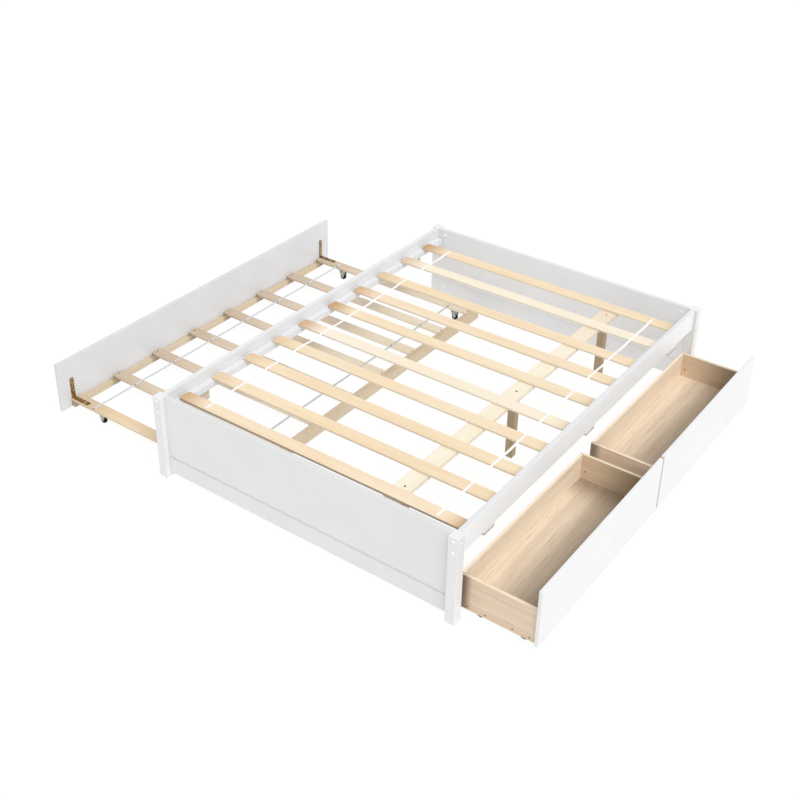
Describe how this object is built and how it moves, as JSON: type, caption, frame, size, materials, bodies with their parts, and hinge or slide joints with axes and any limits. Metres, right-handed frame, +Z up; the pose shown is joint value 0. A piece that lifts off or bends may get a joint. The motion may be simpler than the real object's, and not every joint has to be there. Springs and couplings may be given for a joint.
{
  "type": "platform bed",
  "caption": "Low platform bed: slatted mattress deck on square posts, a slatted trundle on castors that rolls out at one side, storage drawers on castors at the other.",
  "frame": {"origin": "centre of the bounding box's footprint, on the floor, with the trundle and the drawers drawn out as stored", "axes": "+Z up; +Y from the foot end to the head end; +X towards the drawer side, -X towards the trundle side"},
  "size_m": [2.423, 2.02, 0.39],
  "materials": {
    "white_lacquer": "smooth satin white lacquer",
    "pale_wood": "unfinished pale softwood with fine straight grain",
    "drawer_wood": "pale wood-grain veneer",
    "bracket_metal": "dull dark plated steel",
    "castor_steel": "zinc plated",
    "wheel_rubber": "matt black tread"
  },
  "bodies": {
    "root": {"post_foot_left": "white_lacquer", "post_foot_right": "white_lacquer", "post_head_left": "white_lacquer", "post_head_right": "white_lacquer", "panel_foot": "white_lacquer", "panel_head": "white_lacquer", "bottom_rail_foot": "white_lacquer", "bottom_rail_head": "white_lacquer", "side_rail_left": "white_lacquer", "side_rail_right": "white_lacquer", "cleat_left": "white_lacquer", "cleat_right": "white_lacquer", "beam": "pale_wood", "leg_1": "pale_wood", "leg_2": "pale_wood", "leg_3": "pale_wood", "bed_slats": "pale_wood"},
    "trundle": {"trundle_panel": "white_lacquer", "trundle_inner_board": "pale_wood", "trundle_outer_batten": "pale_wood", "trundle_inner_batten": "pale_wood", "trundle_end_slat_foot": "pale_wood", "trundle_end_slat_head": "pale_wood", "trundle_slats": "pale_wood", "bracket_foot": "bracket_metal", "bracket_head": "bracket_metal", "trundle_castor_1": "castor_steel", "trundle_castor_2": "castor_steel", "trundle_castor_3": "castor_steel", "trundle_castor_4": "castor_steel"},
    "drawer_1": {"drawer_1_front": "white_lacquer", "drawer_1_back": "drawer_wood", "drawer_1_side_foot": "drawer_wood", "drawer_1_side_head": "drawer_wood", "drawer_1_floor": "drawer_wood", "drawer_1_castor_1": "castor_steel", "drawer_1_castor_2": "castor_steel", "drawer_1_castor_3": "castor_steel", "drawer_1_castor_4": "castor_steel"},
    "drawer_2": {"drawer_2_front": "white_lacquer", "drawer_2_back": "drawer_wood", "drawer_2_side_foot": "drawer_wood", "drawer_2_side_head": "drawer_wood", "drawer_2_floor": "drawer_wood", "drawer_2_castor_1": "castor_steel", "drawer_2_castor_2": "castor_steel", "drawer_2_castor_3": "castor_steel", "drawer_2_castor_4": "castor_steel"},
    "trundle_wheel_1": {"trundle_wheel_1": "wheel_rubber"},
    "trundle_wheel_2": {"trundle_wheel_2": "wheel_rubber"},
    "trundle_wheel_3": {"trundle_wheel_3": "wheel_rubber"},
    "trundle_wheel_4": {"trundle_wheel_4": "wheel_rubber"},
    "drawer_1_wheel_1": {"drawer_1_wheel_1": "wheel_rubber"},
    "drawer_1_wheel_2": {"drawer_1_wheel_2": "wheel_rubber"},
    "drawer_1_wheel_3": {"drawer_1_wheel_3": "wheel_rubber"},
    "drawer_1_wheel_4": {"drawer_1_wheel_4": "wheel_rubber"},
    "drawer_2_wheel_1": {"drawer_2_wheel_1": "wheel_rubber"},
    "drawer_2_wheel_2": {"drawer_2_wheel_2": "wheel_rubber"},
    "drawer_2_wheel_3": {"drawer_2_wheel_3": "wheel_rubber"},
    "drawer_2_wheel_4": {"drawer_2_wheel_4": "wheel_rubber"}
  },
  "joints": [
    {"name": "trundle_slide", "type": "slide", "parent": "root", "child": "trundle", "axis": [-1, 0, 0], "range_m": [-0.6785, 0.35]},
    {"name": "drawer_1_slide", "type": "slide", "parent": "root", "child": "drawer_1", "axis": [1, 0, 0], "range_m": [-0.3205, 0.06]},
    {"name": "drawer_2_slide", "type": "slide", "parent": "root", "child": "drawer_2", "axis": [1, 0, 0], "range_m": [-0.3205, 0.06]},
    {"name": "trundle_wheel_1_roll", "type": "hinge", "parent": "trundle", "child": "trundle_wheel_1", "pos_m": [-1.0145, -0.89, 0.016], "axis": [0, 1, 0], "continuous": true},
    {"name": "trundle_wheel_2_roll", "type": "hinge", "parent": "trundle", "child": "trundle_wheel_2", "pos_m": [-1.0145, 0.812, 0.016], "axis": [0, 1, 0], "continuous": true},
    {"name": "trundle_wheel_3_roll", "type": "hinge", "parent": "trundle", "child": "trundle_wheel_3", "pos_m": [-0.2925, -0.89, 0.016], "axis": [0, 1, 0], "continuous": true},
    {"name": "trundle_wheel_4_roll", "type": "hinge", "parent": "trundle", "child": "trundle_wheel_4", "pos_m": [-0.2925, 0.812, 0.016], "axis": [0, 1, 0], "continuous": true},
    {"name": "drawer_1_wheel_1_roll", "type": "hinge", "parent": "drawer_1", "child": "drawer_1_wheel_1", "pos_m": [0.9595, -0.9105, 0.02], "axis": [0, 1, 0], "continuous": true},
    {"name": "drawer_1_wheel_2_roll", "type": "hinge", "parent": "drawer_1", "child": "drawer_1_wheel_2", "pos_m": [0.9595, -0.0645, 0.02], "axis": [0, 1, 0], "continuous": true},
    {"name": "drawer_1_wheel_3_roll", "type": "hinge", "parent": "drawer_1", "child": "drawer_1_wheel_3", "pos_m": [1.1395, -0.9105, 0.02], "axis": [0, 1, 0], "continuous": true},
    {"name": "drawer_1_wheel_4_roll", "type": "hinge", "parent": "drawer_1", "child": "drawer_1_wheel_4", "pos_m": [1.1395, -0.0645, 0.02], "axis": [0, 1, 0], "continuous": true},
    {"name": "drawer_2_wheel_1_roll", "type": "hinge", "parent": "drawer_2", "child": "drawer_2_wheel_1", "pos_m": [0.9595, 0.0645, 0.02], "axis": [0, 1, 0], "continuous": true},
    {"name": "drawer_2_wheel_2_roll", "type": "hinge", "parent": "drawer_2", "child": "drawer_2_wheel_2", "pos_m": [0.9595, 0.9105, 0.02], "axis": [0, 1, 0], "continuous": true},
    {"name": "drawer_2_wheel_3_roll", "type": "hinge", "parent": "drawer_2", "child": "drawer_2_wheel_3", "pos_m": [1.1395, 0.0645, 0.02], "axis": [0, 1, 0], "continuous": true},
    {"name": "drawer_2_wheel_4_roll", "type": "hinge", "parent": "drawer_2", "child": "drawer_2_wheel_4", "pos_m": [1.1395, 0.9105, 0.02], "axis": [0, 1, 0], "continuous": true}
  ],
  "couplings": [
    {"joint": "trundle_wheel_1_roll", "follows": "trundle_slide", "rad_per_m": -62.5},
    {"joint": "trundle_wheel_2_roll", "follows": "trundle_slide", "rad_per_m": -62.5},
    {"joint": "trundle_wheel_3_roll", "follows": "trundle_slide", "rad_per_m": -62.5},
    {"joint": "trundle_wheel_4_roll", "follows": "trundle_slide", "rad_per_m": -62.5},
    {"joint": "drawer_1_wheel_1_roll", "follows": "drawer_1_slide", "rad_per_m": 50},
    {"joint": "drawer_1_wheel_2_roll", "follows": "drawer_1_slide", "rad_per_m": 50},
    {"joint": "drawer_1_wheel_3_roll", "follows": "drawer_1_slide", "rad_per_m": 50},
    {"joint": "drawer_1_wheel_4_roll", "follows": "drawer_1_slide", "rad_per_m": 50},
    {"joint": "drawer_2_wheel_1_roll", "follows": "drawer_2_slide", "rad_per_m": 50},
    {"joint": "drawer_2_wheel_2_roll", "follows": "drawer_2_slide", "rad_per_m": 50},
    {"joint": "drawer_2_wheel_3_roll", "follows": "drawer_2_slide", "rad_per_m": 50},
    {"joint": "drawer_2_wheel_4_roll", "follows": "drawer_2_slide", "rad_per_m": 50}
  ]
}
